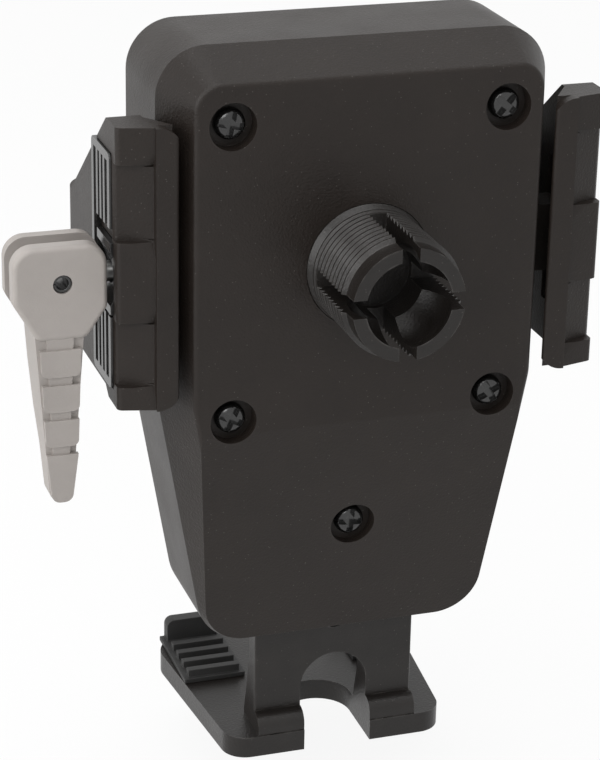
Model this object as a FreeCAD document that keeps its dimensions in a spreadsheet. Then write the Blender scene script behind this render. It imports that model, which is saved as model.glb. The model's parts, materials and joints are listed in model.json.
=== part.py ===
import FreeCAD, Part
import math
import os

import Sketcher
from FreeCAD import Placement, Rotation, Vector

# A phone cradle that clamps on a 17 mm ball.  Two jaws ride on racks either side of one pinion,
# so they open together; a cam lever on the left jaw draws a rod that wedges the jaws where they
# are, and a foot slides down out of the body to carry the phone's lower edge.
#
# Frame, in millimetres: the origin is the centre of the ball in the socket.  +Y runs from the
# ball towards the phone, +Z is up, and +X is to the right for someone who looks at the back.

doc = FreeCAD.newDocument("PhoneCradle")

# ---------------------------------------------------------------------------------------------
# Driving dimensions
# ---------------------------------------------------------------------------------------------

SIZES = (
    # ball socket
    ("ball_radius", 8.5),
    ("ball_gap", 0.1),
    ("mouth_depth", 4.5),
    ("thread_radius", 10.4),
    ("thread_depth", 0.7),
    ("thread_pitch", 1.5),
    ("thread_turns", 10),
    ("thread_crest", 0.35),
    ("tip_radius", 9.6),
    ("collar_radius", 10.8),
    ("collar_proud", 0.5),
    ("socket_gap", 0.1),
    ("socket_hollow_radius", 6.2),
    ("socket_hollow_end", 12.5),
    ("slot_width", 3.0),
    ("slot_end", 11.4),
    ("flange_radius", 16.0),
    ("flange_thick", 2.4),
    # body
    ("back_plane", 15.0),
    ("cover_depth", 9.5),
    ("cover_inset", 4.15),
    ("shell_depth", 20.65),
    ("body_width", 68.1),
    ("chin_width", 50.6),
    ("body_top", 36.8),
    ("hip_drop", 22.7),
    ("body_drop", 71.7),
    ("top_corner", 8.5),
    ("hip_corner", 14.0),
    ("chin_corner", 9.0),
    ("back_edge", 1.1),
    ("front_edge", 1.8),
    ("wall", 2.4),
    ("slope_start_drop", 28.0),
    ("slope_end_rise", 6.2),
    ("slope_rise", 7.7),
    ("lip_thick", 0.5),
    ("part_gap", 0.3),
    # cover screws
    ("screw_radius", 1.5),
    ("screw_gap", 0.15),
    ("head_radius", 2.65),
    ("head_height", 1.9),
    ("cross_reach", 2.1),
    ("cross_half", 0.6),
    ("recess_radius", 4.0),
    ("recess_depth", 2.9),
    ("screw_length", 12.0),
    ("upper_screw_inset", 10.35),
    ("upper_screw_z", 25.6),
    ("lower_screw_inset", 10.85),
    ("lower_screw_drop", 25.6),
    ("chin_screw_rise", 22.4),
    ("cover_boss_radius", 5.6),
    ("shell_boss_radius", 3.6),
    ("chin_boss_radius", 2.7),
    ("insert_length", 5.0),
    ("insert_radius", 2.1),
    # rack arms, pinion and their frame
    ("arm_plane", 23.9),
    ("arm_thick", 6.0),
    ("arm_half", 6.0),
    ("arm_gap", 0.3),
    ("slide_gap", 0.2),
    ("flange_half", 13.0),
    ("arm_flange_thick", 2.6),
    ("pitch_radius", 4.8),
    ("pinion_teeth", 16),
    ("addendum", 0.5),
    ("dedendum", 0.7),
    ("backlash", 0.16),
    ("pinion_width", 5.0),
    ("pinion_hub_radius", 2.9),
    ("axle_radius", 1.5),
    ("running_gap", 0.05),
    ("rack_back", 9.4),
    ("rack_end_gap", 0.6),
    ("block_shoulder_width", 1.1),
    ("block_inset", 15.95),
    ("cap_thick", 0.6),
    ("frame_inset", 7.05),
    ("rail_thick", 2.8),
    ("frame_floor", 2.4),
    ("frame_screw_inset", 3.0),
    ("frame_screw_radius", 1.0),
    ("frame_head_radius", 1.9),
    ("frame_head_height", 0.8),
    ("cup_wall", 1.2),
    ("spring_turns", 5),
    ("spring_pitch", 1.05),
    ("spring_strip", 0.4),
    ("spring_width", 3.6),
    # jaws
    ("jaw_gap", 2.0),
    ("jaw_inner_depth", 7.35),
    ("jaw_clear", 2.75),
    ("jaw_step_width", 6.1),
    ("jaw_wall", 5.7),
    ("jaw_top", 26.2),
    ("jaw_drop", 22.2),
    ("jaw_boss_back", 2.2),
    ("jaw_step_depth", 0.7),
    ("jaw_recess", 2.3),
    ("jaw_boss_top", 6.9),
    ("jaw_boss_drop", 6.9),
    ("jaw_channel_top", 20.0),
    ("jaw_channel_drop", 18.2),
    ("jaw_ramp", 4.0),
    ("jaw_front", 41.5),
    ("jaw_front_corner", 7.6),
    ("jaw_front_wall", 2.0),
    ("jaw_hook", 2.6),
    ("jaw_nose_top", 6.4),
    ("jaw_nose_drop", 13.5),
    ("jaw_corner", 4.2),
    ("jaw_corner_depth", 2.0),
    ("jaw_shoulder", 9.7),
    ("jaw_heel", 8.5),
    ("jaw_heel_end", 28.0),
    ("jaw_heel_step", 1.6),
    ("grip_thick", 3.4),
    ("grip_rib", 0.8),
    ("grip_ribs", 5),
    # cheek plates
    ("cheek_back", 5.0),
    ("cheek_front", 17.2),
    ("cheek_top", 21.2),
    ("cheek_drop", 19.6),
    ("cheek_seat", 0.5),
    ("cheek_thick", 0.6),
    ("cheek_rim", 0.3),
    ("cheek_rim_width", 1.5),
    ("cheek_rib_width", 1.2),
    ("cheek_ribs", 3),
    ("window_top", 8.4),
    ("window_drop", 6.8),
    ("jaw_screw_z", 10.6),
    ("jaw_screw_radius", 1.25),
    ("jaw_screw_head", 2.2),
    ("jaw_head_height", 1.0),
    # cam lever and lock
    ("pin_out", 8.45),
    ("pin_radius", 1.5),
    ("roll_pin_bore", 1.05),
    ("pin_hole_gap", 0.12),
    ("pin_inset", 0.4),
    ("clevis_width", 9.4),
    ("clevis_gap", 3.8),
    ("ear_right", 7.5),
    ("ear_left", 8.2),
    ("ear_top", 6.4),
    ("ear_drop", 9.7),
    ("ear_corner", 3.6),
    ("ear_edge", 0.9),
    ("lever_tip_drop", 38.6),
    ("lever_root_width", 8.3),
    ("lever_tip_width", 3.8),
    ("lever_lean", 0.5),
    ("lever_draw_start", 6.0),
    ("lever_draw_bend", 14.0),
    ("lever_draw_end", 9.0),
    ("lever_draw_in", 4.6),
    ("tread_pitch", 6.2),
    ("tread_length", 4.7),
    ("tread_corner", 1.1),
    ("tread_height", 0.9),
    ("treads", 4),
    ("saddle_radius", 9.2),
    ("saddle_half", 6.2),
    ("saddle_width", 8.8),
    ("saddle_stop", 7.95),
    ("rod_radius", 1.7),
    ("rod_gap", 0.3),
    ("eye_radius", 4.0),
    ("eye_thick", 3.4),
    ("nose_radius", 1.0),
    ("lock_travel", 0.8),
    ("cone_small", 1.4),
    ("cone_large", 2.2),
    ("cone_length", 4.2),
    ("cone_inset", 2.2),
    ("shoe_half", 2.5),
    # foot
    ("foot_plane", 27.4),
    ("foot_thick", 3.6),
    ("foot_half", 15.0),
    ("foot_top_drop", 32.0),
    ("foot_gap", 0.3),
    ("ledge_below", 20.6),
    ("ledge_thick", 4.0),
    ("ledge_back", 24.4),
    ("ledge_front", 66.5),
    ("ledge_back_half", 20.4),
    ("ledge_front_half", 24.4),
    ("ledge_corner", 4.5),
    ("ledge_toe_corner", 7.0),
    ("arch_half", 6.3),
    ("arch_height", 17.5),
    ("notch_end", 42.0),
    ("bead", 2.8),
    ("gusset_height", 12.3),
    ("gusset_rise", 2.8),
    ("foot_slot_half", 3.0),
    ("foot_slot_bridge", 2.3),
    ("foot_slot_below", 24.3),
    ("foot_pad_inner", 10.8),
    ("foot_pad_outer", 22.6),
    ("foot_pad_back", 47.0),
    ("foot_pad_front", 65.2),
    ("foot_pad_thick", 0.9),
    ("foot_rib_height", 2.3),
    ("foot_rib_width", 1.5),
    ("foot_ribs", 4),
    ("foot_lip_height", 5.2),
    ("foot_lip_width", 2.4),
    ("keeper_height", 11.5),
    ("keeper_rise", 5.7),
    ("keeper_thick", 1.5),
    ("keeper_half", 21.0),
    ("keeper_screw_x", 18.4),
    ("keeper_screw_rise", 6.0),
    ("leaf_x", 9.0),
    ("leaf_width", 5.0),
    ("leaf_thick", 0.4),
    ("leaf_rise", 0.0),
    ("leaf_reach", 9.0),
    ("leaf_foot", 6.0),
    # phone rest
    ("rest_thick", 1.0),
    ("rest_inset", 4.0),
    ("rest_groove", 1.4),
)

sheet = doc.addObject("Spreadsheet::Sheet", "Sizes")
for row, (alias, value) in enumerate(SIZES, 1):
    sheet.set(f"A{row}", alias.replace("_", " "))
    sheet.set(f"B{row}", str(value))
    sheet.setAlias(f"B{row}", alias)
doc.recompute()


class Size:
    """A number together with the sheet expression that gives it."""

    def __init__(self, number, text):
        self.number = float(number)
        self.text = text

    def joined(self, sign, other, number):
        return Size(number, f"({self.text} {sign} {size(other).text})")

    def __add__(self, other):
        return self.joined("+", other, self.number + size(other).number)

    def __sub__(self, other):
        return self.joined("-", other, self.number - size(other).number)

    def __mul__(self, other):
        return self.joined("*", other, self.number * size(other).number)

    def __truediv__(self, other):
        return self.joined("/", other, self.number / size(other).number)

    def __radd__(self, other):
        return size(other) + self

    def __rsub__(self, other):
        return size(other) - self

    def __rmul__(self, other):
        return size(other) * self

    def __neg__(self):
        return Size(-self.number, f"(0 - {self.text})")


def size(value):
    """A plain number as a Size; a Size as itself."""
    return value if isinstance(value, Size) else Size(value, f"{value:.9g}")


class Sheet:
    """Each alias of the sheet as an attribute."""


s = Sheet()
for alias, value in SIZES:
    setattr(s, alias, Size(value, f"Sizes.{alias}"))


# ---------------------------------------------------------------------------------------------
# Drawing and modelling helpers
# ---------------------------------------------------------------------------------------------

PLANES = {"XY": 1, "XZ": -1, "YZ": 1}
X, Y, Z = Vector(1, 0, 0), Vector(0, 1, 0), Vector(0, 0, 1)
FAR = 90.0


def tie(thing, prop, value):
    """Bind one property to the sheet."""
    thing.setExpression(prop, size(value).text)


def hold(drawing, kind, element, point, value):
    """Dimension one sketch point from the origin."""
    number = drawing.addConstraint(Sketcher.Constraint(kind, -1, 1, element, point, size(value).number))
    drawing.setExpression(f"Constraints[{number}]", size(value).text)


def polygon(*corners):
    """A closed outline of straight lines; a corner given as (a, b, radius) is rounded."""

    def draw(drawing):
        first = drawing.GeometryCount
        count = len(corners)
        spots = [Vector(size(corner[0]).number, size(corner[1]).number, 0) for corner in corners]
        radii = [size(corner[2]) if len(corner) > 2 else None for corner in corners]
        enter, leave, arcs = list(spots), list(spots), {}
        for n, radius in enumerate(radii):
            if radius is None:
                continue
            back = (spots[n - 1] - spots[n]).normalize()
            ahead = (spots[(n + 1) % count] - spots[n]).normalize()
            half = back.getAngle(ahead) / 2
            enter[n] = spots[n] + back * (radius.number / math.tan(half))
            leave[n] = spots[n] + ahead * (radius.number / math.tan(half))
            middle = spots[n] + (back + ahead).normalize() * (radius.number / math.sin(half))
            turns_left = (ahead.cross(back)).z > 0
            start, end = (enter[n], leave[n]) if turns_left else (leave[n], enter[n])
            angles = [math.atan2(point.y - middle.y, point.x - middle.x) for point in (start, end)]
            if angles[1] < angles[0]:
                angles[1] += 2 * math.pi
            arcs[n] = (Part.ArcOfCircle(Part.Circle(middle, Z, radius.number), *angles), turns_left)
        drawing.addGeometry([Part.LineSegment(leave[n], enter[(n + 1) % count]) for n in range(count)])
        for n, (a, b) in enumerate((corner[0], corner[1]) for corner in corners):
            line_in, line_out = first + (n - 1) % count, first + n
            if radii[n] is None:
                drawing.addConstraint(Sketcher.Constraint("Coincident", line_in, 2, line_out, 1))
                hold(drawing, "DistanceX", line_out, 1, a)
                hold(drawing, "DistanceY", line_out, 1, b)
                continue
            arc, turns_left = arcs[n]
            number = drawing.addGeometry(arc)
            entry, exit_end = (1, 2) if turns_left else (2, 1)
            drawing.addConstraint(Sketcher.Constraint("Tangent", line_in, 2, number, entry))
            drawing.addConstraint(Sketcher.Constraint("Tangent", number, exit_end, line_out, 1))
            bound = drawing.addConstraint(Sketcher.Constraint("Radius", number, radii[n].number))
            drawing.setExpression(f"Constraints[{bound}]", radii[n].text)
            mark = drawing.addGeometry(Part.Point(spots[n]), True)
            drawing.addConstraint(Sketcher.Constraint("PointOnObject", mark, 1, line_in))
            drawing.addConstraint(Sketcher.Constraint("PointOnObject", mark, 1, line_out))
            hold(drawing, "DistanceX", mark, 1, a)
            hold(drawing, "DistanceY", mark, 1, b)

    return draw


def rectangle(left, right, low, high):
    return polygon((left, low), (right, low), (right, high), (left, high))


def circle(across, up, radius):
    """A circle by its centre and radius."""

    def draw(drawing):
        number = drawing.GeometryCount
        centre = Vector(size(across).number, size(up).number, 0)
        drawing.addGeometry(Part.Circle(centre, Z, size(radius).number))
        hold(drawing, "DistanceX", number, 3, across)
        hold(drawing, "DistanceY", number, 3, up)
        bound = drawing.addConstraint(Sketcher.Constraint("Radius", number, size(radius).number))
        drawing.setExpression(f"Constraints[{bound}]", size(radius).text)

    return draw


def span(sign, near, far):
    """The lower and the upper end of a stretch that lies on one side of the middle plane."""
    if sign > 0:
        return near, far
    return -size(far), -size(near)


class Piece:
    """One PartDesign body, with a short call for each kind of feature."""

    def __init__(self, label):
        self.body = doc.addObject("PartDesign::Body", label)
        self.body.Label = label
        self.count = 0

    def feature(self, kind, word):
        self.count += 1
        return self.body.newObject(kind, f"{self.body.Name}_{word}{self.count}")

    def datum(self, role):
        return [item for item in self.body.Origin.OriginFeatures if item.Role == role][0]

    def done(self):
        """Recompute, and stop when the last feature did not build."""
        doc.recompute()
        last = self.body.Tip
        if "Invalid" in last.State or "Error" in last.State or last.Shape.isNull():
            raise RuntimeError(f"{last.Name} did not build")
        return self

    def sketch(self, plane, start, loops):
        drawing = self.feature("Sketcher::SketchObject", "sketch")
        drawing.AttachmentSupport = (self.datum(plane + "_Plane"), [""])
        drawing.MapMode = "FlatFace"
        tie(drawing, "AttachmentOffset.Base.z", size(start) * PLANES[plane])
        for loop in loops:
            loop(drawing)
        return drawing

    def pad(self, plane, start, end, *loops):
        """Material from start to end along the plane's own axis."""
        drawing = self.sketch(plane, start, loops)
        pad = self.feature("PartDesign::Pad", "pad")
        pad.Profile = drawing
        tie(pad, "Length", size(end) - start)
        pad.Reversed = plane == "XZ"
        return self.done()

    def cut(self, plane, start, end, *loops):
        """Space from start to end along the plane's own axis."""
        drawing = self.sketch(plane, start, loops)
        pocket = self.feature("PartDesign::Pocket", "cut")
        pocket.Profile = drawing
        tie(pocket, "Length", size(end) - start)
        pocket.Reversed = plane != "XZ"
        return self.done()

    def taper(self, kind, start, depth, angle, *loops):
        """A drafted pad or pocket that shrinks from the start plane towards the back."""
        drawing = self.sketch("XZ", start, loops)
        drafted = self.feature(kind, "draft")
        drafted.Profile = drawing
        tie(drafted, "Length", depth)
        drafted.Reversed = kind == "PartDesign::Pocket"
        drafted.setExpression("TaperAngle", angle)
        return self.done()

    def turn(self, axis, *loops):
        """A full turn of an outline in the XY plane about the X or the Y axis."""
        drawing = self.sketch("XY", 0, loops)
        revolved = self.feature("PartDesign::Revolution", "turn")
        revolved.Profile = drawing
        revolved.ReferenceAxis = (self.datum(axis + "_Axis"), [""])
        revolved.Angle = 360
        return self.done()

    def ball(self, radius):
        """A spherical hollow about the origin."""
        hollow = self.feature("PartDesign::SubtractiveSphere", "ball")
        tie(hollow, "Radius", radius)
        return self.done()

    def dress(self, kind, prop, amount, wanted):
        base = self.body.Tip
        names = [f"Edge{n}" for n, edge in enumerate(base.Shape.Edges, 1) if wanted(edge)]
        if not names:
            raise RuntimeError(f"no edges to dress on {self.body.Label}")
        dressed = self.feature(kind, "edge")
        dressed.Base = (base, names)
        tie(dressed, prop, amount)
        return self.done()

    def round(self, radius, wanted):
        return self.dress("PartDesign::Fillet", "Radius", radius, wanted)

    def bevel(self, width, wanted):
        return self.dress("PartDesign::Chamfer", "Size", width, wanted)

    def place(self, spot, rotation=None):
        """Put the finished piece where it belongs."""
        if rotation is not None:
            self.body.Placement = Placement(Vector(), rotation)
        for letter, value in zip("xyz", spot):
            tie(self.body, f"Placement.Base.{letter}", value)
        return self


def along(edge, direction):
    """True for a straight edge that runs along a direction."""
    if not isinstance(edge.Curve, Part.Line):
        return False
    return abs(edge.Curve.Direction.dot(direction)) > 0.999


def beside(number, value, reach=0.05):
    return abs(number - size(value).number) < reach


def group(label, pieces):
    """Equal pieces as one node of separate solids."""
    bundle = doc.addObject("Part::Compound", label)
    bundle.Label = label
    bundle.Links = [piece.body if isinstance(piece, Piece) else piece for piece in pieces]
    doc.recompute()
    return bundle


NODES = []


def keep(piece):
    """Hand a finished piece in as a node."""
    NODES.append(piece.body if isinstance(piece, Piece) else piece)
    return piece


# ---------------------------------------------------------------------------------------------
# Values that several pieces share
# ---------------------------------------------------------------------------------------------

SEAM = s.back_plane + s.cover_depth
FRONT = SEAM + s.shell_depth
HALF = s.body_width / 2
CHIN = s.chin_width / 2
BACK_HALF = HALF - s.cover_inset
INSIDE_BACK = s.back_plane + s.wall
INSIDE_FRONT = FRONT - s.wall
SLOPE_END = s.body_drop - s.slope_end_rise
SLOPE = s.slope_rise / (SLOPE_END - s.slope_start_drop)
CHIN_SCREW_DROP = s.body_drop - s.chin_screw_rise
CHIN_SCREW_BACK = s.back_plane + SLOPE * (CHIN_SCREW_DROP - s.slope_start_drop)

ARM_BACK = s.arm_plane - s.arm_thick / 2
ARM_FRONT = s.arm_plane + s.arm_thick / 2
CAP_FRONT = ARM_BACK - s.slide_gap
CAP_BACK = CAP_FRONT - s.cap_thick
FLOOR_BACK = ARM_FRONT + s.slide_gap
FLOOR_FRONT = FLOOR_BACK + s.frame_floor
RAIL_INNER = s.rack_back + s.arm_gap
RAIL_MIDDLE = RAIL_INNER + s.rail_thick / 2
RAIL_OUTER = RAIL_INNER + s.rail_thick
FRAME_HALF = HALF - s.frame_inset
FRAME_SCREW_X = FRAME_HALF - s.frame_screw_inset
BLOCK_SHOULDER = HALF - s.block_inset
BLOCK_INNER = BLOCK_SHOULDER - s.block_shoulder_width
RACK_REACH = BLOCK_INNER - s.rack_end_gap
CUP_OUTER = s.pinion_hub_radius + s.part_gap + s.spring_pitch * (s.spring_turns + 1) + s.cup_wall
CUP_FRONT = FLOOR_FRONT + s.part_gap + s.spring_width + s.part_gap

JAW_INNER = HALF + s.jaw_clear
JAW_BACK_INNER = BACK_HALF + s.jaw_gap
JAW_INNER_BACK = s.back_plane + s.jaw_inner_depth
JAW_OUTER = JAW_INNER + s.jaw_wall
JAW_STEP = JAW_OUTER - s.jaw_step_width
JAW_LIP = JAW_INNER - s.jaw_hook
ARM_END = JAW_INNER + s.jaw_step_depth / 2 + s.arm_flange_thick
GRIP_BACK = FRONT + s.rest_thick
GRIP_FRONT = s.back_plane + s.jaw_front - s.jaw_front_wall
CHEEK_FACE = JAW_OUTER + s.cheek_thick - s.cheek_seat

PIN_X = JAW_OUTER + s.pin_out
PIN = -PIN_X
LEVER_BACK = s.arm_plane - s.clevis_width / 2
LEVER_FRONT = s.arm_plane + s.clevis_width / 2

FOOT_FRONT = s.foot_plane + s.foot_thick
LEDGE_TOP = -(s.body_drop + s.ledge_below)
LEDGE_BOTTOM = LEDGE_TOP - s.ledge_thick
KEEPER_LOW = -(s.body_drop - s.keeper_rise)
KEEPER_TOP = KEEPER_LOW + s.keeper_height
KEEPER_SCREW = KEEPER_LOW + s.keeper_screw_rise


def outline(inset=0.0):
    """The body's outline seen from the back, drawn in by an inset, with its six round corners."""
    half = HALF - inset
    chin = CHIN - inset
    top = s.body_top - inset
    bottom = -(s.body_drop - inset)
    hip = -s.hip_drop
    upper, middle, lower = s.top_corner - inset, s.hip_corner - inset, s.chin_corner - inset
    return polygon((-half, top, upper), (half, top, upper), (half, hip, middle),
                   (chin, bottom, lower), (-chin, bottom, lower), (-half, hip, middle))


UPPER_SCREW_X = HALF - s.upper_screw_inset
LOWER_SCREW_X = HALF - s.lower_screw_inset
SCREWS = (
    ("upper_left", -UPPER_SCREW_X, s.upper_screw_z),
    ("upper_right", UPPER_SCREW_X, s.upper_screw_z),
    ("lower_left", -LOWER_SCREW_X, -s.lower_screw_drop),
    ("lower_right", LOWER_SCREW_X, -s.lower_screw_drop),
)


# ---------------------------------------------------------------------------------------------
# Ball socket
# ---------------------------------------------------------------------------------------------


def ball_socket():
    """A split, externally threaded collet on a flange that sits inside the back cover."""
    tip = -s.mouth_depth
    thread_end = s.back_plane - s.collar_proud - s.thread_pitch * 0.5
    thread_start = thread_end - s.thread_pitch * s.thread_turns
    valley = s.thread_radius - s.thread_depth
    edge = [(0, tip), (s.tip_radius, tip), (valley, thread_start)]
    for turn in range(int(s.thread_turns.number)):
        low = thread_start + s.thread_pitch * turn
        edge.append((s.thread_radius, low + s.thread_pitch / 2 - s.thread_crest / 2))
        edge.append((s.thread_radius, low + s.thread_pitch / 2 + s.thread_crest / 2))
        edge.append((valley, low + s.thread_pitch))
    edge += [
        (s.collar_radius - s.collar_proud, s.back_plane - s.collar_proud),
        (s.collar_radius, s.back_plane),
        (s.collar_radius, INSIDE_BACK + s.socket_gap),
        (s.flange_radius, INSIDE_BACK + s.socket_gap),
        (s.flange_radius, INSIDE_BACK + s.socket_gap + s.flange_thick),
        (0, INSIDE_BACK + s.socket_gap + s.flange_thick),
    ]
    piece = Piece("ball_socket").turn("Y", polygon(*edge))
    piece.ball(s.ball_radius + s.ball_gap)
    piece.cut("XZ", 0, s.socket_hollow_end, circle(0, 0, s.socket_hollow_radius))
    side = s.slot_width / 2
    reach = s.collar_radius + 1
    slot_end = s.slot_end
    piece.cut("XZ", tip - 1, slot_end, rectangle(-side, side, -reach, reach))
    piece.cut("XZ", tip - 1, slot_end, rectangle(-reach, reach, -side, side))
    screw_ring = (s.collar_radius + s.flange_radius) / 2 * 0.7071
    holes = [circle(a * screw_ring, b * screw_ring, s.frame_screw_radius + s.running_gap)
             for a in (-1, 1) for b in (-1, 1)]
    flange_front = INSIDE_BACK + s.socket_gap + s.flange_thick
    piece.cut("XZ", INSIDE_BACK, flange_front + 1, *holes)
    sinks = [circle(a * screw_ring, b * screw_ring, s.frame_head_radius + s.running_gap)
             for a in (-1, 1) for b in (-1, 1)]
    piece.cut("XZ", flange_front - s.frame_head_height, flange_front + 1, *sinks)
    return keep(piece)


def socket_screws():
    """Four screws that hold the socket's flange to the cover from inside."""
    ring = (s.collar_radius + s.flange_radius) / 2 * 0.7071
    flange_front = INSIDE_BACK + s.socket_gap + s.flange_thick
    pieces = []
    for number, (a, b) in enumerate(((-1, -1), (-1, 1), (1, -1), (1, 1)), 1):
        screw = Piece(f"socket_screw_{number}")
        point = s.back_plane + s.wall / 4
        seat = flange_front - s.frame_head_height
        screw.pad("XZ", point, seat, circle(0, 0, s.frame_screw_radius))
        screw.pad("XZ", seat, flange_front, circle(0, 0, s.frame_head_radius))
        screw.place((a * ring, 0, b * ring))
        pieces.append(screw)
    return keep(group("socket_screws", pieces))


# ---------------------------------------------------------------------------------------------
# Body shells
# ---------------------------------------------------------------------------------------------


def back_cover():
    """The drafted back, with five sunk screw seats and the hole for the socket."""
    angle = "-atan(Sizes.cover_inset / Sizes.cover_depth)"
    piece = Piece("back_cover").taper("PartDesign::Pad", SEAM, s.cover_depth, angle, outline())
    side = s.wall + s.part_gap * 2
    cavity_top = s.body_top - side
    cavity_low = -(s.slope_start_drop - s.wall)
    reach, soft = HALF - side, s.top_corner - s.wall
    cavity = polygon((-reach, cavity_low, soft), (reach, cavity_low, soft),
                     (reach, cavity_top, soft), (-reach, cavity_top, soft))
    piece.taper("PartDesign::Pocket", SEAM, SEAM - INSIDE_BACK, angle, cavity)
    low = s.back_plane - 2
    slope_end = s.back_plane + s.slope_rise
    wedge = polygon(
        (low, -s.slope_start_drop),
        (s.back_plane, -s.slope_start_drop),
        (slope_end, -SLOPE_END),
        (SEAM - s.lip_thick, -s.body_drop),
        (SEAM - s.lip_thick, -s.body_drop - 2),
        (low, -s.body_drop - 2),
    )
    piece.cut("YZ", -FAR, FAR, wedge)
    flat = s.back_plane

    def back_rim(edge):
        box = edge.BoundBox
        return box.YMax < size(flat).number + 0.01 and box.ZMin > -size(s.slope_start_drop).number + 0.5 - 0.6

    piece.round(s.back_edge, lambda edge: back_rim(edge) and not (
        along(edge, X) and beside(edge.CenterOfMass.z, -s.slope_start_drop)))
    bosses = [circle(x, z, s.cover_boss_radius) for _, x, z in SCREWS]
    piece.pad("XZ", s.back_plane + s.wall / 2, SEAM, *bosses)
    piece.cut("XZ", low, SEAM + 1, circle(0, 0, s.collar_radius + s.socket_gap))
    seats = [circle(x, z, s.recess_radius) for _, x, z in SCREWS]
    piece.cut("XZ", low, s.back_plane + s.recess_depth, *seats)
    holes = [circle(x, z, s.screw_radius + s.screw_gap) for _, x, z in SCREWS]
    holes.append(circle(0, -CHIN_SCREW_DROP, s.screw_radius + s.screw_gap))
    piece.cut("XZ", low, SEAM + 1, *holes)
    piece.cut("XZ", low, CHIN_SCREW_BACK + s.recess_depth, circle(0, -CHIN_SCREW_DROP, s.recess_radius))
    arm_low = ARM_BACK - s.part_gap
    piece.cut("YZ", -FAR, FAR, rectangle(arm_low, SEAM + 1, -s.arm_half - s.arm_gap, s.arm_half + s.arm_gap))
    pilot = (s.collar_radius + s.flange_radius) / 2 * 0.7071
    pilots = [circle(a * pilot, b * pilot, s.frame_screw_radius + s.running_gap)
              for a in (-1, 1) for b in (-1, 1)]
    piece.cut("XZ", s.back_plane + s.wall / 4, INSIDE_BACK + 0.01, *pilots)
    return keep(piece)


def front_shell():
    """The straight-walled front tray that carries the frame, the foot and the inserts."""
    piece = Piece("front_shell").pad("XZ", SEAM, FRONT, outline())
    piece.cut("XZ", SEAM, INSIDE_FRONT, outline(s.wall))
    front = FRONT.number
    piece.round(s.front_edge, lambda edge: edge.BoundBox.YMin > front - 0.01)
    bosses = [circle(x, z, s.shell_boss_radius) for _, x, z in SCREWS]
    bosses.append(circle(0, -CHIN_SCREW_DROP, s.chin_boss_radius))
    piece.pad("XZ", SEAM, INSIDE_FRONT + 0.5, *bosses)
    posts = [circle(a * FRAME_SCREW_X, b * RAIL_MIDDLE, s.rail_thick)
             for a in (-1, 1) for b in (-1, 1)]
    posts.append(circle(0, 0, s.pinion_hub_radius))
    piece.pad("XZ", CUP_FRONT + s.part_gap, INSIDE_FRONT + 0.5, *posts[4:])
    piece.pad("XZ", FLOOR_FRONT, INSIDE_FRONT + 0.5, *posts[:4])
    # fences either side of the foot and the two rails that it runs on
    fence = s.foot_half + s.foot_gap
    fence_top = -(s.foot_top_drop + s.wall)
    fence_low = KEEPER_LOW
    for sign in (-1, 1):
        low, high = span(sign, fence, fence + s.wall)
        piece.pad("XZ", s.foot_plane - s.foot_gap, INSIDE_FRONT + 0.5, rectangle(low, high, fence_low, fence_top))
        low, high = span(sign, s.foot_half - s.wall, s.foot_half)
        piece.pad("XZ", FOOT_FRONT + s.foot_gap, INSIDE_FRONT + 0.5, rectangle(low, high, fence_low, fence_top))
        centre = sign * s.keeper_screw_x
        post = circle(centre, KEEPER_SCREW, s.recess_radius - s.part_gap * 3)
        piece.pad("XZ", s.foot_plane - s.foot_gap, INSIDE_FRONT + 0.5, post)
    foot_hole = fence
    piece.cut("XZ", s.foot_plane - s.foot_gap, FOOT_FRONT + s.foot_gap,
              rectangle(-foot_hole, foot_hole, -(s.body_drop + 1), -(s.body_drop - s.wall - 4)))
    # openings for the arms
    arm_low = ARM_BACK - s.part_gap
    arm_high = ARM_FRONT + s.part_gap
    window = rectangle(arm_low, arm_high, -s.arm_half - s.arm_gap, s.arm_half + s.arm_gap)
    for sign in (-1, 1):
        low, high = span(sign, HALF - s.wall - 2, HALF + 2)
        piece.cut("YZ", low, high, window)
    # screw holes
    inserts = [circle(x, z, s.insert_radius + s.running_gap) for _, x, z in SCREWS]
    piece.cut("XZ", SEAM - 1, SEAM + s.insert_length + s.part_gap, *inserts)
    pilots = [circle(x, z, s.screw_radius + s.screw_gap) for _, x, z in SCREWS]
    pilots.append(circle(0, -CHIN_SCREW_DROP, s.screw_radius + s.running_gap))
    piece.cut("XZ", SEAM - 1, SEAM + s.screw_length, *pilots)
    small = [circle(a * FRAME_SCREW_X, b * RAIL_MIDDLE, s.frame_screw_radius + s.running_gap)
             for a in (-1, 1) for b in (-1, 1)]
    piece.cut("XZ", FLOOR_FRONT - 1, FLOOR_FRONT + 5, *small)
    keeper = [circle(a * s.keeper_screw_x, KEEPER_SCREW, s.frame_screw_radius + s.running_gap)
              for a in (-1, 1)]
    piece.cut("XZ", s.foot_plane - s.foot_gap - 1, s.foot_plane + 5, *keeper)
    piece.cut("XZ", CUP_FRONT, INSIDE_FRONT - 1, circle(0, 0, s.axle_radius + s.running_gap))
    return keep(piece)


def cover_screw(name, x, z, back, turn, tilt):
    """A pan head screw with a cross recess, its head seated in the cover."""
    screw = Piece(f"cover_screw_{name}")
    seat = s.recess_depth
    under = seat
    top = seat - s.head_height
    screw.pad("XZ", under, seat + s.screw_length - s.part_gap * 2, circle(0, 0, s.screw_radius))
    screw.pad("XZ", top, under, circle(0, 0, s.head_radius))
    rim = top.number
    screw.round(s.head_height * 0.7, lambda edge: edge.BoundBox.YMax < rim + 0.01)
    arm, half = s.cross_reach, s.cross_half
    screw.cut("XZ", top - 1, top + s.head_height * 0.6, rectangle(-arm, arm, -half, half))
    screw.cut("XZ", top - 1, top + s.head_height * 0.6, rectangle(-half, half, -arm, arm))
    spin = Rotation(Y, turn)
    screw.place((x, back, z), Rotation(X, tilt).multiply(spin))
    return screw


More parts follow.
